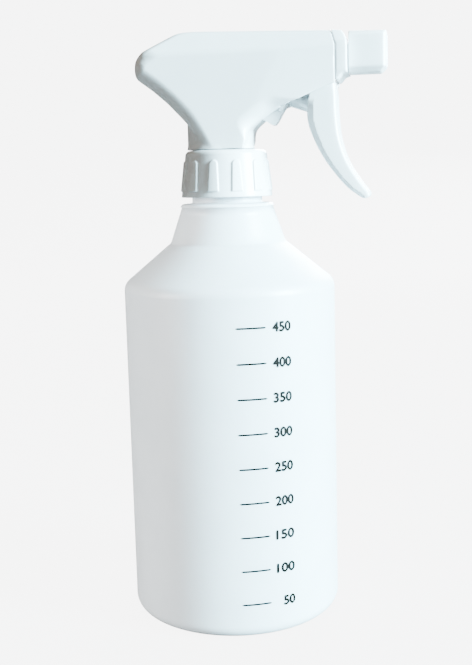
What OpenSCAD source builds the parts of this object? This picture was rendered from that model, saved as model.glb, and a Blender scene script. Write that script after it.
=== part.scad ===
// Trigger spray bottle: a round blow-moulded bottle, a ribbed screw closure and
// a trigger pump head with a square turning nozzle.
// Millimetres. Z is up, the nozzle points along +X, the origin is the centre of
// the bottle's standing ring on the shelf.

/* [Bottle] */
// radius of the round body
body_r = 37.5; // [30:0.5:45]
// height where the straight wall meets the line of the shoulder cone
shoulder_z = 119.06; // [100:0.5:150]
// wall of the blown bottle
wall = 0.9; // [0.6:0.1:2]
// height of the mouth of the neck
mouth_z = 161.7; // [140:0.1:190]
// radius of the neck below its thread (28 mm finish)
neck_r = 12.35; // [10:0.05:16]
// radius of the hole through the neck
neck_bore = 10.9; // [8:0.1:14]

/* [Closure] */
// thread pitch, six turns to the inch
pitch = 4.23; // [2:0.01:6]
// radius at the foot of the closure
cap_foot_r = 16.08; // [14:0.02:20]
// radius at the shoulder of the closure
cap_top_r = 14.4; // [13:0.1:18]
// grip ribs around the closure
cap_ribs = 12; // [6:1:36]

/* [Pump] */
// slope of the pump cylinder below level, degrees
pump_tilt = 33; // [0:1:60]
// radius of the pump cylinder's bore
pump_bore = 5.2; // [4:0.1:8]
// height of the discharge line and of the nozzle
line_z = 196.4; // [180:0.1:210]
// trigger pivot, forward of the bottle's axis
pivot_x = 29.2; // [20:0.1:40]
// trigger pivot height
pivot_z = 199; // [180:0.1:210]

/* [Shroud] */
// half width over the cheeks
cheek = 11.8; // [9:0.1:16]
// thickness of moulded walls in the head
skin = 1; // [0.8:0.1:2]
// side of the square nozzle cap
nozzle_side = 14; // [10:0.5:20]

/* [Hidden] */
$fn = 72;
mouth_x = 23.5;      // centre of the pump cylinder's open end
mouth_h = 182.2;
seat_z = 177.5;      // top of the dip tube retainer
skirt_x = -1.7;      // axis of the round skirt under the shroud
skirt_r = 11.6;
front_x = 39.3;      // plane where the shroud meets its front bezel
trigger_half = 8;    // half width over the trigger
cap_z = 149;         // foot of the closure
milk = [0.93, 0.95, 0.97];
white = [0.9, 0.93, 0.94];
rubber = [0.25, 0.25, 0.27];
steel = [0.75, 0.77, 0.8];

// ---------- helpers ----------
function arc(c, r, a0, a1, n) =
    [for (i = [0:n]) let (a = a0 + (a1 - a0) * i / n) [c[0] + r * cos(a), c[1] + r * sin(a)]];
function unit(v) = v / norm(v);
function left(v) = [-v[1], v[0]];
// corner b of an outline whose two edges a-b and b-c are moved inwards by d and e
function moved(a, b, c, d, e) =
    let (m = left(unit(b - a)), k = left(unit(c - b)), s = m[0] * k[1] - m[1] * k[0])
    abs(s) < 0.001 ? b + m * d : b + [d * k[1] - e * m[1], e * m[0] - d * k[0]] / s;
// an anticlockwise outline with edge i (point i to i+1) moved inwards by d[i]
function inset(p, d) = let (n = len(p))
    [for (i = [0:n - 1]) moved(p[(i + n - 1) % n], p[i], p[(i + 1) % n], d[(i + n - 1) % n], d[i])];

// an outline in X and Z, made w wide across Y
module across(w) rotate([90, 0, 0]) linear_extrude(w, center = true) children();
// an outline in Y and Z, run from x0 to x1
module along_x(x0, x1) translate([x0, 0, 0]) rotate([90, 0, 90]) linear_extrude(x1 - x0) children();
// a round bar of radius r along X
module bar_x(r, x0, x1, z) translate([x0, 0, z]) rotate([0, 90, 0]) cylinder(r = r, h = x1 - x0);
// a round bar of radius r upright on the bottle's axis
module post(r, z0, z1) translate([0, 0, z0]) cylinder(r = r, h = z1 - z0);
// the frame of the pump cylinder: origin at its open end, +Z into the cylinder
module in_pump() translate([mouth_x, 0, mouth_h]) rotate([0, pump_tilt - 90, 0]) children();
// a bar or a hole of radius r in that frame, from depth d0 to depth d1
module bore_in(r, d0, d1) in_pump() translate([0, 0, d0]) cylinder(r = r, h = d1 - d0);

// a screw ridge between two radii, rising one pitch a turn, with run-out ends
module ridge(foot_r, crest_r, z0, a0, turns, foot, crest) {
    n = ceil(turns * 30);
    pts = [for (i = [0:n]) let (a = a0 + 360 * turns * i / n, z = z0 + pitch * a / 360,
            k = min(1, (i + 0.4) / 3, (n - i + 0.4) / 3), c = foot_r + (crest_r - foot_r) * k)
        each [[foot_r * cos(a), foot_r * sin(a), z - foot / 2], [c * cos(a), c * sin(a), z - crest / 2],
            [c * cos(a), c * sin(a), z + crest / 2], [foot_r * cos(a), foot_r * sin(a), z + foot / 2]]];
    sides = [for (i = [0:n - 1], j = [0:3]) let (a = 4 * i + j, b = 4 * i + (j + 1) % 4)
        each [[a, b, b + 4], [a, b + 4, a + 4]]];
    all = concat(sides, [[2, 1, 0], [3, 2, 0], [4 * n, 4 * n + 1, 4 * n + 2], [4 * n, 4 * n + 2, 4 * n + 3]]);
    polyhedron(pts, crest_r > foot_r ? all : [for (f = all) [f[2], f[1], f[0]]], convexity = 6);
}

// a coil spring standing on z = 0, with flat-wound end turns
module coil(r, wire, turns, length) {
    steps = 18;
    around = 8;
    n = turns * steps;
    rise = function(t) let (q = max(0, min(1, (t - 0.75) / (turns - 1.5)))) q * (length - 2 * wire)
        + wire * min(1, t / 0.75) / 2 + wire * max(0, min(1, (t - turns + 0.75) / 0.75)) / 2 + wire / 2;
    pts = [for (i = [0:n], j = [0:around - 1]) let (a = 360 * i / steps, b = 360 * j / around,
            q = r + wire / 2 * cos(b)) [q * cos(a), q * sin(a), rise(i / steps) + wire / 2 * sin(b)]];
    sides = [for (i = [0:n - 1], j = [0:around - 1])
        let (a = around * i + j, b = around * i + (j + 1) % around)
        each [[a, b, b + around], [a, b + around, a + around]]];
    ends = concat([[for (j = [0:around - 1]) around - 1 - j]],
        [[for (j = [0:around - 1]) around * n + j]]);
    polyhedron(pts, concat(sides, ends), convexity = 12);
}

// ---------- bottle ----------

module bottle() color(milk) {
    // straight wall, cones and neck
    rotate_extrude($fn = 144) polygon(concat(
        [[0, 2.4], [24, 2.1], [29, 1.2], [30.5, 0], [33, 0]],
        arc([body_r - 4.5, 4.5], 4.5, -80, 0, 8),
        arc([body_r - 5, shoulder_z - 2.35], 5, 0, 50.3, 8),
        [[21.1, 132.6], [20.2, 133.5], [19.5, 134.8], [15.95, 145.9], [15.6, 146.5], [15.1, 146.8],
         [neck_r + 0.4, 146.8], [neck_r, 147.2], [neck_r, mouth_z - 0.5], [neck_r - 0.5, mouth_z],
         [neck_bore, mouth_z], [neck_bore, 146.6], [neck_bore + 0.6, 146], [14.4, 145.8], [15, 145.2],
         [18.7, 134.3], [19.4, 133], [20.5, 131.9]],
        arc([body_r - 5, shoulder_z - 2.35], 5 - wall, 50.3, 0, 8),
        arc([body_r - 4.5, 4.5], 4.5 - wall, 0, -80, 8),
        [[31, 1.1], [29.4, 2.1], [24, 3.1], [0, 3.4]]));
    // right-hand screw thread of the neck
    ridge(neck_r - 0.3, 13.45, 151.8, 0, 1.5, 2.2, 0.9);
}

// ---------- closure ----------
module cap_cone(extra, z0, z1) {
    r = function(z) cap_foot_r + (cap_top_r - cap_foot_r) * (z - cap_z) / 14.2 + extra;
    translate([0, 0, z0]) cylinder(r1 = r(z0), r2 = r(z1), h = z1 - z0, $fn = 144);
}

module screw_cap() color(white) {
    difference() {
        union() {
            cap_cone(0, cap_z, 163.2);
            rotate_extrude($fn = 144) polygon(concat([[0, 162.9], [14.4, 162.9]],
                arc([12.6, 163.3], 1.8, 0, 90, 8), [[0, 165.1]]));
            // grip ribs, wider at the foot and arched at the top
            intersection() {
                cap_cone(0.5, 150.9, 162);
                for (k = [0:cap_ribs - 1]) rotate(360 * k / cap_ribs - 98)
                    along_x(11, 20) polygon(concat([[-1.95, 151], [1.95, 151], [1.4, 160.3]],
                        arc([0, 160.3], 1.4, 15, 165, 8), [[-1.4, 160.3]]));
            }
        }
        post(13.8, cap_z - 1, 160.3);
        post(13.1, 160.2, 164);
        post(8.7, 163, 166);
    }
    // thread under the bottle's thread
    ridge(14.1, 12.7, 150.085, 75, 1.35, 2, 0.9);
}

module neck_gasket() color(rubber) difference() {
    post(12.5, mouth_z + 0.05, 162.7);
    post(9.2, mouth_z - 1, 164);
}

// ---------- pump body ----------
module pump_body() color(white) difference() {
    union() {
        post(12.6, 162.7, 163.7);
        post(8.3, 162.7, 167);
        translate([skirt_x, 0, 165.7]) cylinder(r = skirt_r - skin, h = 1.3);
        post(7.6, 166, 179.5);
        post(4.6, 179, 202);
        // inclined cylinder, its spring pocket and the port to the riser
        bore_in(pump_bore + skin, 0, 13.6);
        bore_in(4.7, 13, 17);
        bar_x(2.6, 0, 10, 189.8);
        bar_x(3, 0, 47.6, line_z);
        // pivot boss and its saddle on the discharge line
        translate([pivot_x, 0, pivot_z]) rotate([90, 0, 0]) cylinder(r = 2.6, h = 12.8, center = true);
        translate([pivot_x - 2.6, -6.4, line_z - 1]) cube([5.2, 12.8, 2.8]);
        // keel under the cylinder with its rounded heel, and the web that ties it to the riser
        across(5) polygon([[4, 176], [11, 176], [15.2, 174.3], [17, 173.1], [17.9, 173.1], [18.9, 174.3],
            [23.4, 182.2], [12, 189], [4, 186]]);
        across(2) polygon([[3, 186], [12, 184], [24, 192], [26.8, 196], [3, 196]]);
    }
    post(6, 160, seat_z);
    post(3.9, seat_z - 0.01, 179.3);
    post(2.7, 179.2, 183.6);
    post(1.6, 183.5, 191.4);
    post(1.1, 191.3, 192.5);
    post(2.4, 192.4, 203);
    bar_x(1.3, 0, 48, line_z);
    bore_in(pump_bore, -12, 12.4);
    bore_in(3.5, 12.3, 15.8);
    bar_x(1.1, 0, 10.6, 189.8);
    for (s = [-1, 1]) translate([pivot_x, s * 6, pivot_z]) rotate([90, 0, 0])
        cylinder(r = 1.6, h = 4, center = true);
    // groove for the nozzle's sealing ring
    difference() {
        bar_x(3.5, 45.6, 47, line_z);
        bar_x(2.2, 45, 48, line_z);
    }
}

module tube_retainer() color(white) difference() {
    union() {
        post(8.9, 161.9, 162.7);
        post(6, 162.6, seat_z);
    }
    post(2.8, 161, 176);
    post(1.4, 175, 178);
}

module dip_tube() color(milk) difference() {
    post(2.8, 5.5, 176);
    post(2.1, 5, 177);
    // the lower end is cut on the slant
    translate([0, 0, 5.5]) rotate([0, 30, 0]) translate([-8, -5, -6]) cube([16, 10, 6]);
}

module ball_seat() color(rubber) difference() {
    post(3.9, seat_z, 179.3);
    post(1.4, 177, 180);
    translate([0, 0, 178.2]) cylinder(r1 = 1.4, r2 = 2.49, h = 1.2);
}

module inlet_ball() color(steel) translate([0, 0, 180.27]) sphere(r = 2.38);

module outlet_valve() color(white) {
    post(2, 192.45, 193.6);
    post(1, 193.5, 195.6);
}

module outlet_spring() color(steel) translate([0, 0, 193.6]) coil(1.55, 0.35, 6, 6.2);

module bore_plug() color(white) {
    post(2.4, 199.8, 202.1);
    post(3.6, 202, 203);
}

module piston() color(white) difference() {
    bore_in(4.9, 0.2, 5.9);
    bore_in(3.6, -1, 4);
    bore_in(3.4, 5, 7);
    difference() {
        bore_in(5.5, 4.2, 5.5);
        bore_in(4.2, 4, 6);
    }
}

module piston_seal() color(rubber) difference() {
    bore_in(pump_bore - 0.04, 4.2, 5.5);
    bore_in(4.2, 4, 6);
}

module return_spring() color(steel) in_pump() translate([0, 0, 5]) coil(2.85, 0.6, 7, 10.8);

// ---------- trigger ----------
// hand side of the lever, from under the nozzle down to the tip
lever_front = [[37.4, 190.2], [38.4, 188], [39, 185.5], [39.3, 181.5], [39.4, 177.8], [39.7, 173.5],
    [40.2, 169.3], [41.1, 165.5], [42.3, 162], [43.9, 158.6], [46, 155.2], [48.1, 152.3], [50.2, 149.6],
    [50.5, 148.7], [50.2, 147.9], [49.3, 147.5]];
// back edges of the side walls, from the tip up into the head
lever_back = [[47.4, 148], [43.8, 150.5], [41, 153.4], [38.4, 156.6], [36.1, 159.7], [34.2, 162.8],
    [32.6, 165.8], [31.3, 168.8], [30.4, 171.3], [29.7, 174], [29.5, 176.8], [30, 180.5], [30.4, 183.7],
    [28.6, 189], [26.9, 195]];

module trigger() color(white) {
    n = len(lever_front);
    difference() {
        // the hand side is rounded over the last few tenths of the width
        for (s = [[0, 2], [0.7, 1.3], [1.5, 0.6], [2.5, 0]]) across(2 * trigger_half - s[1] * 1.2)
            polygon(concat([for (i = [0:n - 1]) lever_front[i] - [(2.5 - s[0]) * 0.48, -0.1 * (2.5 - s[0])]],
                lever_back, arc([pivot_x, pivot_z], 2.4, 190, 20, 10)));
        // open back and top, leaving side walls and a front wall that thins to the tip
        across(2 * trigger_half - 2.4) polygon([[36, 205], [36, 189.3], [37.2, 187], [37.7, 184], [37.8, 178],
            [38.6, 169.8], [40.6, 162.8], [44, 156.4], [46.4, 153], [45.6, 151.6], [40, 148], [18, 165],
            [18, 205]]);
    }
    // trunnions turn in the pump body
    for (s = [-1, 1]) translate([pivot_x, s * 6.1, pivot_z]) rotate([90, 0, 0])
        cylinder(r = 1.52, h = 3.6, center = true);
    // push finger with a ball end that drives the piston
    translate([22.24, 0, 183.02]) {
        sphere(r = 2.4);
        rotate([0, 110.8, 0]) cylinder(r1 = 2, r2 = 3.2, h = 14.6);
    }
    across(3) polygon([[23.6, 180.4], [24.2, 179.2], [31.3, 176.7], [36.6, 175.6], [36.6, 179], [25, 182.5]]);
    // stiffening web behind the front wall
    across(1.4) polygon([[33, 178], [38.5, 178], [38.5, 170.5], [41.4, 162], [46, 154.4], [43.2, 155.6],
        [38, 163], [34, 171.5]]);
}

// ---------- shroud ----------
side = concat([[7.8, 165.4], [10.9, 170.4], [14.3, 173.6], [19.3, 176.6], [24.4, 179.5], [28, 181.7],
    [32, 183.6], [front_x, 185.9], [front_x, 203.4], [10, 204.5], [-7.2, 205.15], [-13, 205.2],
    [-15.6, 204.6], [-21.4, 201.8]], arc([-26.2, 194.6], 4.5, 112, 226, 8),
    [[-22.8, 185], [-17.2, 179.9], [-14.2, 177], [-10.5, 173.6], [-7.6, 170], [-5.6, 165.4]]);
// closed throat between the skirt and the pump's mouth
throat = [[7, 164], [7.8, 165.4], [10.9, 170.4], [14.3, 173.6], [19.3, 176.6], [20.3, 177.1],
    [19.8, 178], [18.8, 177.5], [13.7, 174.4], [10.1, 171], [6.8, 165.7], [6, 164]];
// the underside and the front stay open: their edges move outwards in the hollow
side_open = [for (i = [0:len(side) - 1]) i < 8 || i == len(side) - 1 ? -3 : 1];

module shroud_form(t) {
    h = cheek - t;
    intersection() {
        across(2 * h) polygon(t > 0 ? inset(side, side_open * t) : side);
        // long facets beside the roof
        along_x(-40, 60) polygon([[-20, 150], [20, 150], [20, 184.53 - t * 1.9], [7.6, 204.6 - t * 1.9],
            [7.6, 220], [-7.6, 220], [-7.6, 204.6 - t * 1.9], [-20, 184.53 - t * 1.9]]);
        // rounded spine
        translate([-29.4, 0, 189.4]) rotate([0, 132.2, 0]) translate([0, 0, -60]) linear_extrude(140)
            polygon(concat([[-70, h], [-70, -h]], arc([-4.7, -h + 4.6 - t], 4.6 - t, -90, 0, 8),
                arc([-4.7, h - 4.6 + t], 4.6 - t, 0, 90, 8)));
        // cheeks draw in towards the nose, ahead of a slanting crease
        translate([21, 0, 197]) rotate([0, 28, 0]) translate([0, 0, -80]) linear_extrude(160)
            polygon([[-90, h], [-90, -h], [0, -h], [45, 2.4 - h], [45, h - 2.4], [0, h]]);
    }
}

module shroud() color(white) difference() {
    union() {
        shroud_form(0);
        translate([skirt_x, 0, 165.4]) {
            cylinder(r = skirt_r, h = 12);
            cylinder(r1 = skirt_r + 0.3, r2 = skirt_r, h = 1.6);
        }
    }
    // the hollow leaves the skirt's tube whole, and a throat wall cut out around the pump's mouth
    difference() {
        shroud_form(skin);
        translate([skirt_x, 0, 160]) cylinder(r = skirt_r, h = 12.4);
        difference() {
            across(24) polygon(throat);
            bore_in(pump_bore + skin + 0.2, -4, 14);
            translate([12, -2.7, 170]) cube([8, 5.4, 14]);
        }
    }
    translate([skirt_x, 0, 165]) cylinder(r = skirt_r - skin, h = 14);
}

module front_bezel() color(white) difference() {
    intersection() {
        across(24) polygon([[front_x, 186.8], [40.4, 187.2], [41.6, 188.8], [43.3, 189.4], [43.3, 198.4],
            [42.8, 200.8], [41.5, 203], [front_x, 203.2]]);
        along_x(39, 44) polygon(concat([[-10.4, 184], [10.4, 184], [10.7, 187], [10.7, 198.4]],
            arc([9.5, 199.2], 1.2, 0, 32, 4), [[7.9, 203.9], [-7.9, 203.9]],
            arc([-9.5, 199.2], 1.2, 148, 180, 4), [[-10.7, 198.4], [-10.7, 187]]));
    }
    // hollow behind the face, open underneath for the lever
    along_x(39, 42) polygon([[-9.4, 180], [9.4, 180], [9.4, 198], [6.8, 201.8], [-6.8, 201.8], [-9.4, 198]]);
    bar_x(3, 38, 45, line_z);
}

// ---------- nozzle ----------
module spinner() color(white) difference() {
    union() {
        bar_x(1.3, 44.5, 47.7, line_z);
        bar_x(2.6, 47.6, 50.6, line_z);
    }
    // feed flats along the stem and three swirl slots in the face
    for (k = [0:2]) translate([0, 0, line_z]) rotate([120 * k, 0, 0]) {
        translate([44, -0.6, 0.85]) cube([3.6, 1.2, 1]);
        translate([47.5, 1.5, -0.3]) cube([3.5, 2, 0.6]);
        translate([50.2, 0.4, -0.3]) cube([1, 3, 0.6]);
    }
}

module nozzle_seal() color(rubber) translate([46.3, 0, line_z]) rotate([0, 90, 0])
    rotate_extrude() translate([2.62, 0]) circle(r = 0.42, $fn = 24);

module nozzle_cap() color(white) {
    h = nozzle_side / 2;
    c = 1.7;
    translate([0, 0, line_z]) difference() {
        intersection() {
            along_x(43.7, 56.1) polygon([[-h, c - h], [c - h, -h], [h - c, -h], [h, c - h], [h, h - c],
                [h - c, h], [c - h, h], [-h, h - c]]);
            across(20) polygon([[43, -h], [54.2, -h], [56.1, 1.9 - h], [56.1, h - 1], [55.3, h], [43, h]]);
            translate([0, 0, -10]) linear_extrude(20)
                polygon([[43, -h], [55.1, -h], [56.1, 1 - h], [56.1, h - 1], [55.1, h], [43, h]]);
        }
        bar_x(3.08, 43, 51, 0);
        bar_x(3.6, 50.99, 57, 0);
        translate([54.4, 0, 0]) rotate([0, 90, 0]) cylinder(r1 = 3.6, r2 = 5, h = 1.8);
        // hollow between the socket and the outer walls, open at the back
        difference() {
            along_x(43, 50) square([nozzle_side - 2.6, nozzle_side - 2.6], center = true);
            bar_x(4.4, 42, 51, 0);
            along_x(42, 51) square([1.2, nozzle_side], center = true);
            along_x(42, 51) square([nozzle_side, 1.2], center = true);
        }
    }
}

module orifice_insert() color(white) translate([0, 0, line_z]) difference() {
    bar_x(3.6, 51, 53.4, 0);
    bar_x(0.3, 50, 54, 0);
    translate([52.2, 0, 0]) rotate([0, 90, 0]) cylinder(r1 = 0.3, r2 = 1.6, h = 1.3);
}

bottle();
screw_cap();
neck_gasket();
pump_body();
tube_retainer();
dip_tube();
ball_seat();
inlet_ball();
outlet_valve();
outlet_spring();
bore_plug();
piston();
piston_seal();
return_spring();
trigger();
shroud();
front_bezel();
spinner();
nozzle_seal();
nozzle_cap();
orifice_insert();
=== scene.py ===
"""Trigger spray bottle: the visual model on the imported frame.

Lengths in the modelling functions are millimetres in the row frame (X to the nozzle, Z up);
meshes are stored in metres.
"""
import math

import bmesh
import bpy
import numpy as np
from mathutils import Matrix, Vector


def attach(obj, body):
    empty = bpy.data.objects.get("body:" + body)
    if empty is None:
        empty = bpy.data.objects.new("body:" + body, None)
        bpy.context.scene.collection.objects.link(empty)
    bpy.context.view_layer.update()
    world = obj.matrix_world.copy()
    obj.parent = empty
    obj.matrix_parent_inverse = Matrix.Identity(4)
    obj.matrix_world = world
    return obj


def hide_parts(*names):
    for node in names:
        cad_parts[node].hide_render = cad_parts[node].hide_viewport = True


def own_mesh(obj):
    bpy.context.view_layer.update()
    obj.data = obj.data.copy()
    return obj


MM = 0.001
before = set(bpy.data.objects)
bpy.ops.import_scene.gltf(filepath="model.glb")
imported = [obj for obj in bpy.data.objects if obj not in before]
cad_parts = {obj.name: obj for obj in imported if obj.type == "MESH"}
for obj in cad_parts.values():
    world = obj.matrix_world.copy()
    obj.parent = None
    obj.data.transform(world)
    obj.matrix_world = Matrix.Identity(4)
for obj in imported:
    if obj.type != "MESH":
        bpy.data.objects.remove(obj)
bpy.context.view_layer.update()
scene = bpy.context.scene

# ------------------------------------------------------------------ camera
CAM_YAW = math.radians(10.75)       # the camera stands this far round towards the nozzle
CAM_AIM = math.radians(-0.2986)     # and looks this far aside of the bottle's axis
CAM_PITCH = math.radians(8.825)
CAM_ROLL = math.radians(-1.4906)
CAM_DISTANCE = 361.76
CAM_HEIGHT = 156.34
CAM_LENS = 54.81
SENSOR_WIDTH = 36


def make_camera():
    """A camera on the near side, level with the bottle's shoulder and looking slightly down."""
    forward = Vector((0, math.cos(CAM_PITCH), -math.sin(CAM_PITCH)))
    right = Vector((1, 0, 0))
    up = right.cross(forward)
    right, up = (right * math.cos(CAM_ROLL) + up * math.sin(CAM_ROLL),
                 up * math.cos(CAM_ROLL) - right * math.sin(CAM_ROLL))
    turn = Matrix.Rotation(CAM_YAW, 3, "Z")
    aim = Matrix.Rotation(CAM_AIM, 3, "Z")
    axes = [turn @ aim @ v for v in (right, up, -forward)]
    place = turn @ Vector((0, -CAM_DISTANCE, CAM_HEIGHT)) * MM
    data = bpy.data.cameras.new("camera")
    data.lens = CAM_LENS
    data.sensor_width = SENSOR_WIDTH
    data.clip_start = 0.01
    camera = bpy.data.objects.new("camera", data)
    scene.collection.objects.link(camera)
    m = Matrix(axes).transposed().to_4x4()
    m.translation = place
    camera.matrix_world = m
    scene.camera = camera


make_camera()


# ------------------------------------------------------------------ materials
SCATTER_DEPTH = 0.006


def principled(name, colour, roughness):
    """A new material with one colour and roughness, and the parts of its node tree."""
    mat = bpy.data.materials.new(name)
    mat.use_nodes = True
    nodes = mat.node_tree.nodes
    bsdf = nodes["Principled BSDF"]
    bsdf.inputs["Base Color"].default_value = (*colour, 1)
    bsdf.inputs["Roughness"].default_value = roughness
    return mat, nodes, mat.node_tree.links, bsdf


def noise(nodes, links, scale, detail):
    """The output of a noise that stays fixed to its object."""
    coords = nodes.new("ShaderNodeTexCoord")
    tex = nodes.new("ShaderNodeTexNoise")
    tex.inputs["Scale"].default_value = scale
    tex.inputs["Detail"].default_value = detail
    links.new(coords.outputs["Object"], tex.inputs["Vector"])
    return tex.outputs["Fac"]


def vary(nodes, links, source, socket, low, high):
    """Maps a noise to a range of values, or of colours, and links it to a socket."""
    if isinstance(low, tuple):
        ramp = nodes.new("ShaderNodeValToRGB")
        ramp.color_ramp.elements[0].position = 0.35
        ramp.color_ramp.elements[1].position = 0.65
        ramp.color_ramp.elements[0].color = (*low, 1)
        ramp.color_ramp.elements[1].color = (*high, 1)
        links.new(source, ramp.inputs["Fac"])
        links.new(ramp.outputs["Color"], socket)
    else:
        span = nodes.new("ShaderNodeMapRange")
        span.inputs["From Min"].default_value = 0.3
        span.inputs["From Max"].default_value = 0.7
        span.inputs["To Min"].default_value = low
        span.inputs["To Max"].default_value = high
        links.new(source, span.inputs["Value"])
        links.new(span.outputs["Result"], socket)


def bump(nodes, links, bsdf, layers):
    """Adds bump layers: each is (noise output, height in metres)."""
    last = None
    for source, height in layers:
        b = nodes.new("ShaderNodeBump")
        b.inputs["Strength"].default_value = 1.0
        b.inputs["Distance"].default_value = height
        links.new(source, b.inputs["Height"])
        if last:
            links.new(last, b.inputs["Normal"])
        last = b.outputs["Normal"]
    links.new(last, bsdf.inputs["Normal"])


def plastic(name, dark, light, rough, scatter=0.0, grain=0.00001, grain_scale=2600, wave=0.00002):
    """Moulded plastic: colour between dark and light, a range of roughness, fine grain over a faint wave."""
    mat, nodes, links, bsdf = principled(name, light, sum(rough) / 2)
    vary(nodes, links, noise(nodes, links, 60, 4), bsdf.inputs["Base Color"], dark, light)
    vary(nodes, links, noise(nodes, links, 170, 4), bsdf.inputs["Roughness"], *rough)
    bump(nodes, links, bsdf, [(noise(nodes, links, 55, 2), wave),
                              (noise(nodes, links, grain_scale, 2), grain)])
    bsdf.inputs["IOR"].default_value = 1.5
    if scatter:
        bsdf.inputs["Subsurface Weight"].default_value = scatter
        bsdf.inputs["Subsurface Radius"].default_value = (1.0, 1.0, 1.0)
        bsdf.inputs["Subsurface Scale"].default_value = SCATTER_DEPTH
    return mat


def metal(name, dark, light, rough):
    """Drawn or ground metal with a fine grain."""
    mat, nodes, links, bsdf = principled(name, light, sum(rough) / 2)
    bsdf.inputs["Metallic"].default_value = 1.0
    vary(nodes, links, noise(nodes, links, 400, 3), bsdf.inputs["Base Color"], dark, light)
    vary(nodes, links, noise(nodes, links, 900, 3), bsdf.inputs["Roughness"], *rough)
    bump(nodes, links, bsdf, [(noise(nodes, links, 3000, 2), 0.000004)])
    return mat


MILK = plastic("milk_plastic", (0.62, 0.705, 0.755), (0.66, 0.745, 0.795), (0.34, 0.42),
               scatter=0.5, grain=0.000006, grain_scale=1500)
SHELL = plastic("shroud_plastic", (0.80, 0.83, 0.845), (0.83, 0.86, 0.872), (0.30, 0.38),
                scatter=0.25, grain=0.000008)
LEVER = plastic("lever_plastic", (0.81, 0.84, 0.855), (0.84, 0.87, 0.882), (0.26, 0.34),
                scatter=0.25, grain=0.000006)
CLOSURE = plastic("closure_plastic", (0.74, 0.78, 0.80), (0.78, 0.82, 0.84), (0.24, 0.32),
                  scatter=0.25, grain=0.000005)
INNER = plastic("inner_plastic", (0.80, 0.82, 0.83), (0.85, 0.87, 0.88), (0.30, 0.42),
                scatter=0.2, grain=0.000008)
TUBE = plastic("tube_plastic", (0.74, 0.78, 0.80), (0.80, 0.84, 0.86), (0.18, 0.26),
               scatter=0.4, grain=0.000004)
SEAL = plastic("seal_rubber", (0.30, 0.31, 0.32), (0.38, 0.39, 0.40), (0.55, 0.68), grain_scale=3200)
STEEL = metal("steel", (0.50, 0.51, 0.53), (0.62, 0.63, 0.65), (0.18, 0.3))
INK = plastic("ink", (0.002, 0.0015, 0.001), (0.004, 0.003, 0.002), (0.55, 0.65),
              grain=0.000004, grain_scale=4200, wave=0.000002)
INK.node_tree.nodes["Principled BSDF"].inputs["Specular IOR Level"].default_value = 0.08


# ------------------------------------------------------------------ mesh helpers
def put(name, mesh, body, mat, replaces=()):
    """Adds a piece that rides on a body, takes a material slot and stands for some CAD nodes."""
    obj = bpy.data.objects.new(name, mesh)
    scene.collection.objects.link(obj)
    mesh.materials.clear()
    mesh.materials.append(mat)
    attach(obj, body)
    if replaces:
        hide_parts(*replaces)
    return obj


def mesh_of(name, points, faces, normals=None):
    """A smooth mesh from points in millimetres."""
    mesh = bpy.data.meshes.new(name)
    mesh.from_pydata([tuple(p) for p in np.asarray(points, float) * MM], [], faces)
    mesh.validate()
    mesh.shade_smooth()
    if normals is not None:
        mesh.normals_split_custom_set_from_vertices([tuple(n) for n in normals])
    return mesh


def spline(points, per):
    """A Catmull-Rom curve through the points, each stretch in per parts."""
    p = [np.array(q, float) for q in points]
    n = len(p)
    out = []
    for i in range(n - 1):
        a, b, c, d = (p[min(max(i + k, 0), n - 1)] for k in (-1, 0, 1, 2))
        for j in range(per):
            t = j / per
            out.append(0.5 * (2 * b + (c - a) * t + (2 * a - 5 * b + 4 * c - d) * t ** 2
                              + (3 * b - a - 3 * c + d) * t ** 3))
    out.append(p[-1])
    return [tuple(q) for q in out]


def arc(cx, cz, r, a0, a1, n):
    """Points on a circle from a0 to a1 degrees, in n steps."""
    return [(cx + r * math.cos(math.radians(a0 + (a1 - a0) * i / n)),
             cz + r * math.sin(math.radians(a0 + (a1 - a0) * i / n))) for i in range(n + 1)]


def fine(points, step):
    """The same open outline with extra points, none further apart than step."""
    out = []
    for (ax, az), (bx, bz) in zip(points, points[1:]):
        n = max(1, math.ceil(math.hypot(bx - ax, bz - az) / step))
        out += [(ax + (bx - ax) * i / n, az + (bz - az) * i / n) for i in range(n)]
    return out + [points[-1]]


def lathe(name, profile, segments, swell):
    """Turns a ring of (r, z) points about Z. swell(angle, r, z) is how far each moves outwards."""
    prof = np.array(profile, float)
    ang = np.arange(segments) * 2 * math.pi / segments
    r = np.repeat(prof[None, :, 0], segments, 0)
    z = np.repeat(prof[None, :, 1], segments, 0)
    a = np.repeat(ang[:, None], len(prof), 1)
    r = r + swell(a, r, z)
    pts = np.stack([r * np.cos(a), r * np.sin(a), z], -1).reshape(-1, 3)
    n = len(prof)
    faces = []
    for i in range(segments):
        k = (i + 1) % segments
        for j in range(n):
            m = (j + 1) % n
            faces.append((i * n + j, k * n + j, k * n + m, i * n + m))
    mesh = mesh_of(name, pts, faces)
    bm = bmesh.new()
    bm.from_mesh(mesh)
    bmesh.ops.remove_doubles(bm, verts=bm.verts, dist=1e-7)
    bmesh.ops.recalc_face_normals(bm, faces=bm.faces)
    bm.to_mesh(mesh)
    bm.free()
    return mesh


THREAD_PITCH = 4.23


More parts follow.
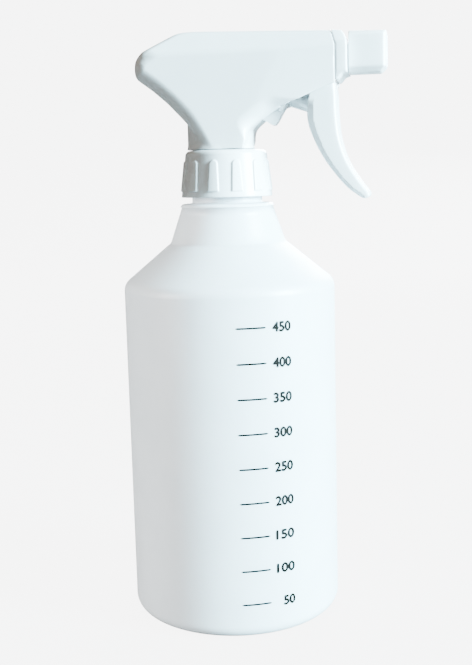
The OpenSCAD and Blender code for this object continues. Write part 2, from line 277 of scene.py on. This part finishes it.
def ridge(name, foot_r, crest_r, z0, a0, turns, foot):
    """A screw ridge, foot wide, with a rounded crest and run-out ends."""
    n = round(turns * 60)
    side = 1 if crest_r > foot_r else -1
    pts, faces = [], []
    for i in range(n + 1):
        a = math.radians(a0 + 360 * turns * i / n)
        z = z0 + THREAD_PITCH * math.degrees(a) / 360
        k = min(1, (i + 0.2) / 6, (n - i + 0.2) / 6)
        high = abs(crest_r - foot_r) * k
        for s in (0, 0.12, 0.28, 0.5, 0.72, 0.88, 1):
            lift = high * (1 - abs(2 * s - 1) ** 3.2) ** 0.8
            r = foot_r + side * lift
            pts.append((r * math.cos(a), r * math.sin(a), z + (s - 0.5) * foot))
    for i in range(n):
        for j in range(6):
            q = (7 * i + j, 7 * i + j + 1, 7 * i + j + 8, 7 * i + j + 7)
            faces.append(q if side < 0 else q[::-1])
        q = (7 * i + 6, 7 * i, 7 * i + 7, 7 * i + 13)
        faces.append(q if side < 0 else q[::-1])
    ends = [tuple(range(7)), tuple(range(7 * n + 6, 7 * n - 1, -1))]
    faces += ends if side > 0 else [e[::-1] for e in ends]
    return mesh_of(name, pts, faces)


def joined(name, meshes):
    """One smooth mesh made of several."""
    bm = bmesh.new()
    for m in meshes:
        bm.from_mesh(m)
    mesh = bpy.data.meshes.new(name)
    bm.to_mesh(mesh)
    bm.free()
    mesh.shade_smooth()
    return mesh


# ------------------------------------------------------------------ solid fields
# A field is a function of x, y and z in millimetres, negative inside.
ROOT_HALF = 0.7071      # scales a field that slopes at 45 degrees


def outline(points):
    """Signed distance to a closed outline in a plane."""
    edges = list(zip(points, points[1:] + points[:1]))

    def field(u, v):
        u, v = np.broadcast_arrays(u, v)
        best = np.full(u.shape, 1e12)
        inside = np.zeros(u.shape, bool)
        for (ax, az), (bx, bz) in edges:
            ex, ez = bx - ax, bz - az
            wx, wz = u - ax, v - az
            t = np.clip((wx * ex + wz * ez) / (ex * ex + ez * ez + 1e-12), 0, 1)
            best = np.minimum(best, (wx - t * ex) ** 2 + (wz - t * ez) ** 2)
            if az != bz:
                inside ^= ((az > v) != (bz > v)) & (u < ex * (v - az) / ez + ax)
        return np.where(inside, -1, 1) * np.sqrt(best)
    return field


def both(a, b, r=0.0):
    """The common part of two fields, its new edge rounded to radius r."""
    if np.max(r) <= 0:
        return np.maximum(a, b)
    return np.minimum(-r, np.maximum(a, b)) + np.hypot(np.maximum(r + a, 0), np.maximum(r + b, 0))


def either(a, b, r=0.0):
    """The union of two fields, its inside corner filled to radius r."""
    if np.max(r) <= 0:
        return np.minimum(a, b)
    return np.maximum(r, np.minimum(a, b)) - np.hypot(np.maximum(r - a, 0), np.maximum(r - b, 0))


def without(a, b, r=0.0):
    """Field a with b cut out of it."""
    return both(a, -b, r)


def rod(x, y, z, a, b, ra, rb=None):
    """A straight bar with round ends from a to b, ra thick at a and rb at b."""
    rb = ra if rb is None else rb
    a, b = np.array(a, float), np.array(b, float)
    d = b - a
    t = np.clip(((x - a[0]) * d[0] + (y - a[1]) * d[1] + (z - a[2]) * d[2]) / (d @ d), 0, 1)
    away = (x - a[0] - t * d[0]) ** 2 + (y - a[1] - t * d[1]) ** 2 + (z - a[2] - t * d[2]) ** 2
    return np.sqrt(away) - (ra + (rb - ra) * t)


def disc(u, v, r):
    """A round bar of radius r along the third axis."""
    return np.hypot(u, v) - r


def ease(v, low, high):
    """0 below low and 1 above high, with a smooth rise between."""
    t = np.clip((v - low) / (high - low), 0, 1)
    return t * t * (3 - 2 * t)


def slab(v, low, high):
    """The room between two planes."""
    return np.maximum(low - v, v - high)


def gradient(field, pts, h=0.03):
    """How steeply a field rises at some points, along each axis."""
    g = []
    for k in range(3):
        a, b = pts.copy(), pts.copy()
        a[:, k] += h
        b[:, k] -= h
        g.append((field(*a.T) - field(*b.T)) / (2 * h))
    return np.stack(g, 1)


# grid step of the meshed fields
STEP = 0.42
CORNERS = [(i, j, k) for i in (0, 1) for j in (0, 1) for k in (0, 1)]
EDGES = [(a, b) for a in CORNERS for b in CORNERS
         if a < b and sum(abs(p - q) for p, q in zip(a, b)) == 1]


def net_points(v, axes, step):
    """A point in each cell of the grid that the surface crosses, and a map from cells to points."""
    inside = v < 0
    cells = tuple(len(a) - 1 for a in axes)

    def corner(array, c):
        return array[tuple(slice(o, o + n) for o, n in zip(c, cells))]
    count = sum(corner(inside, c).astype(np.int8) for c in CORNERS)
    where = np.nonzero((count > 0) & (count < 8))
    index = np.full(cells, -1)
    index[where] = np.arange(len(where[0]))
    total = np.zeros((len(where[0]), 3))
    hits = np.zeros(len(where[0]))
    for a, b in EDGES:
        va = v[tuple(w + o for w, o in zip(where, a))]
        vb = v[tuple(w + o for w, o in zip(where, b))]
        cross = (va < 0) != (vb < 0)
        t = np.where(cross, va / np.where(cross, va - vb, 1), 0)[:, None]
        total += np.where(cross[:, None], np.array(a) + t * (np.array(b) - np.array(a)), 0)
        hits += cross
    pts = np.stack([axes[k][0] + step * (where[k] + total[:, k] / hits) for k in range(3)], 1)
    return pts, index


def settled(field, start, reach):
    """Points moved onto the surface, none further than reach along each axis."""
    pts = start.copy()
    for _ in range(4):
        value = field(*pts.T)
        slope = gradient(field, pts)
        pts -= (value / np.maximum((slope ** 2).sum(1), 0.2))[:, None] * slope
        pts = start + np.clip(pts - start, -reach, reach)
    return pts


def net_faces(inside, index):
    """A quad across each edge of the grid that the surface crosses, facing outwards."""
    faces = []
    for axis in range(3):
        u, w = [k for k in range(3) if k != axis]
        lo = [slice(None)] * 3
        hi = [slice(None)] * 3
        lo[axis], hi[axis] = slice(0, -1), slice(1, None)
        for k in (u, w):
            lo[k] = hi[k] = slice(1, -1)
        change = inside[tuple(lo)].astype(np.int8) - inside[tuple(hi)].astype(np.int8)
        at = np.array(np.nonzero(change)).T
        sign = change[tuple(at.T)]
        at[:, u] += 1
        at[:, w] += 1
        quad = []
        for du, dw in ((1, 1), (0, 1), (0, 0), (1, 0)):
            c = at.copy()
            c[:, u] -= du
            c[:, w] -= dw
            quad.append(index[tuple(c.T)])
        quad = np.array(quad).T
        flip = (sign > 0) == (axis == 1)
        quad[flip] = quad[flip][:, ::-1]
        faces.append(quad)
    return np.concatenate(faces).tolist()


def surface(name, field, low, high, step):
    """The surface where a field is zero, as a mesh of even quads (surface nets)."""
    axes = [np.arange(a - step, b + 2 * step, step) for a, b in zip(low, high)]
    grid = (axes[0][:, None, None], axes[1][None, :, None], axes[2][None, None, :])
    v = np.broadcast_to(field(*grid), tuple(len(a) for a in axes))
    pts, index = net_points(v, axes, step)
    pts = settled(field, pts, step * 0.9)
    slope = gradient(field, pts)
    normals = slope / np.maximum(np.linalg.norm(slope, axis=1), 1e-9)[:, None]
    return mesh_of(name, pts, net_faces(v < 0, index), normals)


# ------------------------------------------------------------------ bottle
BODY_R = 37.5
WALL = 0.9


def bottle():
    """The blown bottle, outside then inside from the base's middle, and its neck thread."""
    outer = ([(0, 2.4), (12, 2.35), (20, 2.2), (25, 1.95), (28.3, 1.35)] + arc(31.6, 1.6, 1.6, 215, 275, 6)
             + arc(BODY_R - 4.5, 4.5, 4.5, -88, 0, 14) + fine([(BODY_R, 4.6), (BODY_R, 116.6)], 6)
             + arc(BODY_R - 5, 116.71, 5, 0, 50.3, 14) + fine([(35.6, 120.64), (21.3, 132.44)], 4)
             + arc(22.6, 134.6, 2.55, 232, 198, 6) + fine([(20.12, 133.9), (16.1, 145.6)], 4)
             + arc(15.2, 145.3, 1.45, 12, 88, 8) + [(14.2, 146.8), (13.1, 146.8)]
             + arc(13.1, 147.55, 0.75, 268, 184, 5) + fine([(12.35, 148), (12.35, 161)], 2)
             + arc(11.75, 161.1, 0.6, 0, 88, 5))
    inner = ([(10.95, 161.6), (10.9, 161.3)] + fine([(10.9, 161), (10.9, 147)], 3)
             + [(11.1, 146.3), (11.7, 145.95), (14.1, 145.85), (14.7, 145.4), (14.95, 144.8)]
             + fine([(18.9, 133.9), (19.5, 132.7), (20.6, 131.7), (34.9, 119.9)], 4)
             + arc(BODY_R - 5, 116.71, 5 - WALL, 50.3, 0, 10)
             + fine([(BODY_R - WALL, 116), (BODY_R - WALL, 5)], 8)
             + arc(BODY_R - 4.5, 4.5, 4.5 - WALL, 0, -85, 10)
             + [(30.8, 1.3), (28.8, 2.3), (25, 2.9), (18, 3.2), (8, 3.4), (0, 3.4)])

    def seam(a, r, z):
        """The mould's parting line, a hair proud on each side."""
        off = np.abs((a % math.pi) - math.pi * (a % math.pi > math.pi / 2)) * r
        return 0.05 * np.clip(1 - off / 0.35, 0, 1) * (r > 12.4) * (z > 3) * (z < 146)
    body = lathe("bottle", outer + inner, 288, seam)
    return joined("bottle", [body, ridge("neck_thread", 12.2, 13.45, 151.8, 0, 1.5, 2.2)])


put("bottle_shell", bottle(), "bottle", MILK, ["bottle"])


# ------------------------------------------------------------------ volume marks
MARKS = 9
MARK_R = BODY_R + 0.06
MARK_Z0, MARK_STEP = 12.46, 11.826
# ends of the lines and right-hand ends of the numbers, along the wall from the -Y side
LINE_START = math.radians(12.95) * BODY_R
LINE_END = math.radians(28.65) * BODY_R
NUMBER_END = math.radians(42.6) * BODY_R
LINE_HALF = 0.32
DIGIT_H = 3.15
BOLD = 0.23                         # what each print is shifted by
NUMBER_WIDTH = {2: 4.3, 3: 6.65}    # by the number of digits


def on_body(arc_mm, z, r):
    """A point at radius r on the body: arc_mm round the wall from the -Y side towards +X."""
    a = arc_mm / BODY_R
    return (r * math.sin(a), -r * math.cos(a), z)


def mark_z(k):
    """Height of a line and its number, counted from 0."""
    return MARK_Z0 + MARK_STEP * k


def volume_lines():
    """The scale's lines, each a thin strip with its edges turned in to the wall."""
    pts, faces = [], []
    n = 16
    for k in range(MARKS):
        base = len(pts)
        for i in range(n + 1):
            s = LINE_START + (LINE_END - LINE_START) * i / n
            lift = LINE_HALF * min(1, i + 0.35, n - i + 0.35)
            for dz, dr in ((-lift, -0.02), (-lift * 0.8, 0), (lift * 0.8, 0), (lift, -0.02)):
                pts.append(on_body(s, mark_z(k) + dz, MARK_R + dr))
        for i in range(n):
            for j in range(3):
                a = base + 4 * i + j
                faces.append((a, a + 4, a + 5, a + 1))
    put("volume_lines", mesh_of("volume_lines", pts, faces), "bottle", INK)


def flat_number(number):
    """The outline font's mesh of a number, lying flat."""
    curve = bpy.data.curves.new("number", "FONT")
    curve.body = number
    curve.size = 1
    curve.resolution_u = 4
    text = bpy.data.objects.new("number", curve)
    scene.collection.objects.link(text)
    bpy.context.view_layer.update()
    mesh = bpy.data.meshes.new_from_object(text)
    bpy.data.objects.remove(text)
    return mesh


def volume_number(k):
    """One number of the scale, bent round the body."""
    number = str(50 * (k + 1))
    mesh = flat_number(number)
    bm = bmesh.new()
    bm.from_mesh(mesh)
    bmesh.ops.triangulate(bm, faces=bm.faces)
    plain, whole = list(bm.verts), list(bm.verts) + list(bm.edges) + list(bm.faces)
    near, far = min(v.co.x for v in plain), max(v.co.x for v in plain)
    low, high = min(v.co.y for v in plain), max(v.co.y for v in plain)
    size = DIGIT_H / (high - low)
    squeeze = NUMBER_WIDTH[len(number)] / (far - near)
    # the strokes are fattened by printing the number again a little to each side
    prints = [(plain, 0, 0)]
    for side in ((1, 0), (-1, 0), (0, 1), (0, -1)):
        copy = bmesh.ops.duplicate(bm, geom=whole)["geom"]
        prints.append(([v for v in copy if isinstance(v, bmesh.types.BMVert)], *side))
    for level, (verts, du, dv) in enumerate(prints):
        for v in verts:
            v.co = Vector(on_body(NUMBER_END - BOLD + (v.co.x - far) * squeeze + du * BOLD,
                                  mark_z(k) + (v.co.y - (low + high) / 2) * size + dv * BOLD,
                                  MARK_R + 0.002 * level)) * MM
    bm.to_mesh(mesh)
    bm.free()
    mesh.shade_smooth()
    put("volume_" + number, mesh, "bottle", INK)


volume_lines()
for k in range(MARKS):
    volume_number(k)


# ------------------------------------------------------------------ closure
CAP_FOOT_R = 16.08
CAP_TOP_R = 14.4
CAP_FOOT_Z = 149
CAP_SIDE_H = 14.2
RIB_PITCH = 2 * math.pi / 12
RIB_FIRST = math.radians(-98)
RIB_TURN = 0.03
RIB_HEIGHT = 0.52                   # how far they stand out
RIB_LOW, RIB_HIGH = 151, 160.3      # foot of the ribs, and the centre of their round tops


def cap_r(z):
    """Radius of the closure's tapered side."""
    return CAP_FOOT_R + (CAP_TOP_R - CAP_FOOT_R) * (z - CAP_FOOT_Z) / CAP_SIDE_H


def closure():
    """The ribbed closure, outside then inside from its foot, and its thread."""
    outer = ([(15.75, 149)] + arc(cap_r(149.3) - 0.3, 149.3, 0.3, -80, 0, 4)
             + fine([(cap_r(149.6), 149.6), (cap_r(150.4), 150.4)], 0.4)
             + fine([(cap_r(150.5), 150.5), (cap_r(162.4), 162.4)], 0.22)
             + fine([(cap_r(162.6), 162.6), (cap_r(163.2), 163.2)], 0.3)
             + arc(12.6, 163.3, 1.8, 4, 88, 12) + [(11.5, 165.1), (9.2, 165.1)]
             + arc(9, 164.8, 0.3, 80, 180, 4))
    inner = ([(8.7, 164.2), (8.8, 164), (12.9, 164), (13.1, 163.8)]
             + fine([(13.1, 163.4), (13.1, 160.6)], 1) + [(13.2, 160.35), (13.7, 160.25), (13.8, 160)]
             + fine([(13.8, 159.6), (13.8, 149.8)], 1.2) + [(13.95, 149.3), (14.4, 149)])

    def ribs(a, r, z):
        """Raised ribs, narrower and round at the top, with soft edges."""
        off = ((a - RIB_TURN - RIB_FIRST + RIB_PITCH / 2) % RIB_PITCH - RIB_PITCH / 2) * r
        half = 1.95 - 0.55 * (z - RIB_LOW) / 9.3
        d = np.where(z > RIB_HIGH, np.hypot(off, z - RIB_HIGH) - 1.4,
                     np.maximum(np.abs(off) - half, RIB_LOW - z))
        return RIB_HEIGHT * ease(-d, -0.12, 0.24) * (r > 14.2) * (z > 150.4) * (z < 162.5)
    body = lathe("closure", outer + inner, 720, ribs)
    return joined("closure", [body, ridge("closure_thread", 14.1, 12.7, 150.085, 75, 1.35, 2)])


put("closure_shell", closure(), "closure", CLOSURE, ["screw_cap"])

# ------------------------------------------------------------------ shroud
CHEEK = 11.8                        # half-width
SKIN = 1.0                          # wall
FRONT_X = 39.3                      # front opening, closed by the bezel
SKIRT_X, SKIRT_Z = -1.7, 165.4      # middle and foot of the round skirt
SKIRT_R = 11.6
SKIRT_TOP = 172.4                   # top of the skirt's bore
# the pump's mouth in the XZ plane, and the direction of its axis towards it
PUMP_X, PUMP_Z = 23.5, 182.2
PUMP_DX, PUMP_DZ = 0.83867, -0.54464
# roof, rounded rear tip and spine; the outline runs on past the open edges
BACK = ([(60, 202.45), (FRONT_X, 203.4), (10, 204.5), (-5, 205.1)]
        + spline([(-9.5, 205.2), (-13, 205.1), (-15.6, 204.5), (-18.2, 203.3)], 4)
        + [(-21.4, 201.7)]
        + spline([(-26.9, 198.9), (-28.5, 197.6), (-29.7, 196), (-30.1, 194.3), (-30.15, 192.5),
                  (-29.9, 190.9), (-29.3, 189.7), (-28.3, 188.8), (-26, 187.1), (-23.5, 185.2),
                  (-20.6, 182.7), (-18.7, 181), (-16.3, 178.5), (-13.8, 175.9), (-11.5, 173.3),
                  (-8.9, 169.6), (-6.6, 165)], 3)
        + [(-4, 160), (60, 160)])
# throat wall above the skirt, then the lower edges of the cheeks up to the nose
MOUTH = ([(-60, SKIRT_Z), (7.8, SKIRT_Z)]
         + spline([(8.2, 166), (8.9, 168), (9.2, 170), (10.1, 172), (12.4, 174), (15.3, 176),
                   (18.4, 178), (21.4, 179.3), (24.7, 180.4), (28, 181.6), (32, 183.4), (36, 184.9),
                   (39.3, 185.9)], 4)
         + [(60, 190), (60, 240), (-60, 240)])
BACK_D, MOUTH_D = outline(BACK), outline(MOUTH)
# keel under the pump, which comes out through the throat wall
KEEL_D = outline([(4, 176), (11, 176), (15.2, 174.3), (17, 173.1), (17.9, 173.1), (18.9, 174.3),
                  (23.4, 182.2), (12, 189), (4, 186)])


def shroud_form(x, y, z, inset):
    """The shroud's outer form, drawn in by inset."""
    e = (x - 21) * 0.883 - (z - 197) * 0.469
    taper = 0.0533 * 0.5 * (e + np.sqrt(e * e + 1.2))
    cheeks = np.abs(y) - CHEEK + taper
    facet = (np.abs(y) - 7.6) * 0.8508 + (z - 204.6) * 0.5256
    sides = both(cheeks, facet, 0.7)
    back = BACK_D(x, z) + 0.004 * y * y
    # flat band between each cheek and the spine, running out at the roof
    band = (cheeks + back + 2.3 + 0.7 * ease(z, 172, 180) - 3.4 * ease(z, 195.5, 201)) * ROOT_HALF
    r = np.maximum(1.2 - inset, 0.2)
    return both(both(sides + inset, band + inset, r), back + inset, r)


def pump_frame(x, z):
    """Depth along the pump's axis from its mouth, and the offset from that axis in the XZ plane."""
    dx, dz = x - PUMP_X, z - PUMP_Z
    return -PUMP_DX * dx - PUMP_DZ * dz, -PUMP_DZ * dx + PUMP_DX * dz


def shroud_field(x, y, z):
    """The shroud: a thin shell over the pump, on a round skirt, open below the trigger and in front."""
    flare = 0.3 * np.clip((167 - z) / 1.6, 0, 1)
    skirt = disc(x - SKIRT_X, y, SKIRT_R)
    tube = both(skirt - flare, slab(z, SKIRT_Z, 176), 0.35)
    soft = 0.4 + 4.7 * ease(z, 167, 176) * ease(28 - x, 0, 13)
    shell = both(shroud_form(x, y, z, 0), MOUTH_D(x, z), soft)
    outer = either(shell, tube, 0.25)
    bore = both(skirt + SKIN, slab(z, 160, SKIRT_TOP))
    # hollow: the skirt's tube and the throat wall stay, with a way out for the pump's mouth
    hollow = both(shroud_form(x, y, z, SKIN), -both(skirt, z - SKIRT_TOP))
    closed = both(hollow, shell + SKIN)
    depth, off = pump_frame(x, z)
    way = both(both(disc(off, y, 6.4), depth - 14), -4 - depth)
    slot = both(KEEL_D(x, z) - 0.25, np.abs(y) - 2.75)
    lever = both(20.3 - x, np.abs(y) - 8.6)
    free = both(hollow, np.minimum(np.minimum(24 - x, lever), np.minimum(way, slot)))
    inner = np.minimum(np.minimum(closed, free), bore)
    front = x - FRONT_X + 0.3 * np.maximum(z - 198.4, 0)
    return both(without(outer, inner, 0.25), front, 0.2)


SHROUD = surface("shroud", shroud_field, (-32, -13, 165), (40, 13, 206), STEP)
put("shroud_shell", SHROUD, "head", SHELL, ["shroud"])

# ------------------------------------------------------------------ bezel
# seen from the side, then from in front
BEZEL_SIDE = outline([(FRONT_X + 0.25, 186.9), (40.3, 187.2), (41.6, 188.8), (42.4, 189.2), (43.3, 189.4)]
                     + spline([(43.3, 197.6), (43.15, 199.6), (42.6, 201.3), (41.5, 202.9)], 4)
                     + [(FRONT_X - 1.2, 203.3), (FRONT_X - 1.2, 202.4), (FRONT_X + 0.25, 198.3)])
BEZEL_FRONT = outline([(-9.6, 185), (9.6, 185), (10.7, 190.5), (10.7, 198.4)]
                      + arc(9.5, 199.2, 1.2, 0, 32, 4) + [(7.9, 204.2), (-7.9, 204.2)]
                      + arc(-9.5, 199.2, 1.2, 148, 180, 4) + [(-10.7, 198.4), (-10.7, 190)])
BEZEL_HOLLOW = outline([(-8.6, 189.6), (8.6, 189.6), (9.4, 192), (9.4, 198),
                        (6.8, 201.8), (-6.8, 201.8), (-9.4, 198), (-9.4, 192)])
LINE_Z = 196.4      # height of the nozzle's axis


def bezel_field(x, y, z):
    """The frame round the nozzle's foot, with a lip that fits inside the shroud."""
    outer = both(BEZEL_SIDE(x, z), BEZEL_FRONT(y, z), 0.45)
    lip = both(both(x - 40, 38.4 - x), both(both(BEZEL_FRONT(y, z) + 1.35, 190 - z), z - 197.5))
    hollow = both(BEZEL_HOLLOW(y, z), x - 42)
    solid = without(np.minimum(outer, lip), hollow, 0.15)
    return without(solid, disc(y, z - LINE_Z, 3.05), 0.15)


BEZEL = surface("bezel", bezel_field, (38, -11.5, 185), (44, 11.5, 204), STEP * 0.8)
put("bezel_shell", BEZEL, "head", SHELL, ["front_bezel"])

# ------------------------------------------------------------------ nozzle
HALF = 7.0
BEVEL = 1.7


def nozzle_field(x, y, z):
    """The square nozzle cap, bevelled all round, with its recess, bore and a hollow back with webs."""
    z = z - LINE_Z
    sides = both(np.abs(y) - HALF, np.maximum(-HALF - z, z - HALF + 0.4 + 0.03 * (x - 43.6)), 0.25)
    sides = both(sides, (np.abs(y) + np.abs(z) - 2 * HALF + BEVEL) * ROOT_HALF, 0.3)
    ends = both(x - 56.2, 43.62 - x)
    front = np.maximum((x - 55.3 + 0.8 * (np.abs(y) - HALF)) * ROOT_HALF,
                       (x - 55.3 + 0.8 * (z - HALF)) * ROOT_HALF)
    lower = (x - 54.2 - (z + HALF)) * ROOT_HALF
    body = both(both(both(sides, ends, 0.3), front, 0.3), lower, 0.3)
    body = without(body, both(disc(y, z, 3.08), x - 51))
    recess = disc(y, z, 3.6 + np.clip(x - 54.4, 0, 3) * 0.75)
    body = without(body, both(recess, 50.99 - x), 0.25)
    hollow = both(both(both(np.abs(y) - 5.7, np.abs(z) - 5.7, 0.5), x - 50), -disc(y, z, 4.4))
    webs = both(hollow, 0.6 - np.minimum(np.abs(y), np.abs(z)), 0.2)
    return without(body, webs, 0.15)


NOZZLE = surface("nozzle", nozzle_field, (43, -7.5, 189), (57, 7.5, 204), STEP * 0.75)
put("nozzle_shell", NOZZLE, "nozzle", SHELL, ["nozzle_cap"])

# ------------------------------------------------------------------ trigger
PIVOT = (29.2, 199)
FRONT_EDGE = spline([(36.6, 191.5), (37.6, 190), (38.5, 187.8), (39, 185.5), (39.3, 181.5),
                     (39.4, 177.8), (39.7, 173.5), (40.2, 169.3), (41.1, 165.5), (42.3, 162),
                     (43.9, 158.6), (46, 155.2), (48.1, 152.3), (49.9, 150)], 4)
TIP = spline([(49.9, 150), (50.45, 149), (50.3, 148.1), (49.3, 147.55), (48.2, 147.6), (47.2, 148.1)], 4)
BACK_EDGE = spline([(47.2, 148.1), (43.8, 150.6), (41, 153.4), (38.4, 156.6), (36.1, 159.7),
                    (34.2, 162.8), (32.6, 165.8), (31.3, 168.8), (30.3, 171.4), (29.7, 174),
                    (29.5, 176.8), (29.9, 180.5), (30.4, 183.7), (28.7, 189), (27, 194.5)], 4)
LEVER_D = outline(FRONT_EDGE[:-1] + TIP[:-1] + BACK_EDGE
                  + arc(PIVOT[0], PIVOT[1], 2.4, 195, 15, 12) + [(34.2, 196)])
# the front edge alone, closed far behind the lever
PALM_D = outline([(36.6, 215), (36.6, 191.5)] + FRONT_EDGE[1:-1] + TIP[:-8]
                 + [(48.6, 146), (0, 140), (0, 215)])
# the channel along the lever's back
CHANNEL_D = outline([(36, 206), (36, 189.6)]
                    + spline([(36.2, 189.2), (37.1, 187), (37.7, 184), (37.85, 178), (38.2, 173),
                              (38.7, 169.6), (40.7, 162.8), (44, 156.5), (46.2, 153.2)], 4)
                    + [(45.6, 151.6), (41, 149.5), (18, 165), (18, 206)])
# the back edge alone, closed far ahead of the lever
HEEL_D = outline(BACK_EDGE[:-5] + [(30.4, 215), (80, 215), (80, 120), (49.6, 146)])
# the finger that pushes the piston, and the rib under it
FINGER = ((22.24, 0, 183.02), (35.6, 0, 177.95))
FOOT_D = outline([(22.9, 180.4), (23.2, 179.2), (29, 177.2), (36.6, 175.6), (36.6, 179), (25, 182.5)])


def trigger_field(x, y, z):
    """The lever: a channel open to the back, with a web, the piston's finger and the trunnions."""
    ay = np.abs(y)
    # the side walls lean in along the back, less towards the tip and inside the head
    wide = 1.2 + 0.9 * ease(z, 150, 176)
    lean = 0.62 * np.maximum(wide + HEEL_D(x, z), 0) * ease(182 - z, 0, 5)
    solid = both(LEVER_D(x, z), ay + lean - 8, 0.3)
    solid = both(solid, both(PALM_D(x, z), ay - 8, 0.9))
    channel = both(CHANNEL_D(x, z), ay + lean - 6.8, 0.5)
    solid = without(solid, channel, 0.25)
    web = both(both(LEVER_D(x, z) + 1.6, ay - 0.7), both(z - 178, CHANNEL_D(x, z) - 0.5))
    web = both(web, (31.5 - x) * 0.5 + (178 - z) * 0.2)
    solid = either(solid, web, 0.3)
    finger = either(rod(x, y, z, *FINGER, 2.0, 3.2), rod(x, y, z, FINGER[0], (22.3, 0, 183), 2.4), 0.4)
    foot = both(FOOT_D(x, z), ay - 1.5, 0.3)
    solid = either(solid, either(finger, foot, 0.4), 0.5)
    trunnion = both(disc(x - PIVOT[0], z - PIVOT[1], 1.52), slab(ay, 4.3, 7.4), 0.2)
    return either(solid, trunnion, 0.2)


TRIGGER = surface("trigger", trigger_field, (19, -8.5, 147), (51, 8.5, 203), STEP * 0.95)
put("trigger_shell", TRIGGER, "trigger", LEVER, ["trigger"])

# ------------------------------------------------------------------ CAD nodes that stay
LOOK = {"neck_gasket": SEAL, "pump_body": INNER, "tube_retainer": INNER, "dip_tube": TUBE,
        "ball_seat": SEAL, "inlet_ball": STEEL, "outlet_valve": INNER, "bore_plug": INNER,
        "piston": INNER, "piston_seal": SEAL, "spinner": INNER, "nozzle_seal": SEAL,
        "orifice_insert": CLOSURE}
for node, mat in LOOK.items():
    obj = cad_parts[node]
    for s in obj.material_slots:
        s.material = mat


# ------------------------------------------------------------------ springs
def spring(node, axis):
    """A coil on the head, a steel copy of its CAD node's mesh. The axis is not used."""
    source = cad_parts[node]
    mesh = source.data.copy()
    mesh.transform(source.matrix_world)
    obj = put(node + "_coil", mesh, "head", STEEL, [node])
    axis = Vector(axis).normalized()
    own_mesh(obj)


spring("return_spring", (-0.838671, 0, 0.544639))
spring("outlet_spring", (0, 0, 1))


# ------------------------------------------------------------------ floor and light
GLOW = 6.7
FLOOR_DROP = 0.0003     # the floor lies this far below the bottle's feet
BODY_AIM = (0, 0, 0.12)
BASE_AIM = (0, 0, 0.08)


def sweep():
    """A pale floor that curves up into the background, mostly lit from within like a light table."""
    # y and z of its section in metres
    profile = [(-1.6, 0), (1.3, 0)] + arc(1.3, 1.2, 1.2, -90, 0, 24)[1:] + [(2.5, 4)]
    pts = [(x * 1000, y * 1000, z * 1000) for x in (-5, 5) for y, z in profile]
    n = len(profile)
    mesh = mesh_of("floor", pts, [(i, n + i, n + i + 1, i + 1) for i in range(n - 1)])
    mat, _, _, bsdf = principled("floor", (0.06, 0.06, 0.06), 0.9)
    bsdf.inputs["Specular IOR Level"].default_value = 0
    bsdf.inputs["Emission Color"].default_value = (1, 1, 1, 1)
    bsdf.inputs["Emission Strength"].default_value = GLOW
    mesh.materials.append(mat)
    floor = bpy.data.objects.new("floor", mesh)
    floor.location.z = -FLOOR_DROP
    scene.collection.objects.link(floor)
    # its glow is a backdrop and doesn't light the object
    lit = bpy.data.collections.new("lit_by_floor")
    lit.objects.link(floor)
    floor.light_linking.receiver_collection = lit


def area(name, place, target, size, power, colour):
    """A rectangular lamp that points at a target."""
    data = bpy.data.lights.new(name, "AREA")
    data.shape = "RECTANGLE"
    data.size, data.size_y = size
    data.energy = power
    data.color = colour
    lamp = bpy.data.objects.new(name, data)
    scene.collection.objects.link(lamp)
    lamp.location = place
    lamp.rotation_euler = (Vector(target) - Vector(place)).to_track_quat("-Z", "Y").to_euler()
    return lamp


sweep()
world = bpy.data.worlds.new("world")
scene.world = world
world.use_nodes = True
sky = world.node_tree.nodes["Background"]
sky.inputs["Color"].default_value = (1.0, 0.85, 0.7, 1)
sky.inputs["Strength"].default_value = 0.52
# a large lamp beyond the nozzle, a little to the camera's side
area("key", (1.48, -0.44, 0.55), BODY_AIM, (0.55, 0.7), 560, (0.55, 0.88, 1))
area("rear", (0.25, 1.7, 0.8), BODY_AIM, (0.8, 0.8), 120, (0.9, 0.97, 1))
# light that the translucent bottle gathers, on the side away from the lamp
fill = area("bottle_fill", (-1.1, -0.8, 0.35), BASE_AIM, (0.7, 0.7), 50, (1, 0.97, 0.96))
only = bpy.data.collections.new("lit_by_fill")
only.objects.link(bpy.data.objects["bottle_shell"])
fill.light_linking.receiver_collection = only
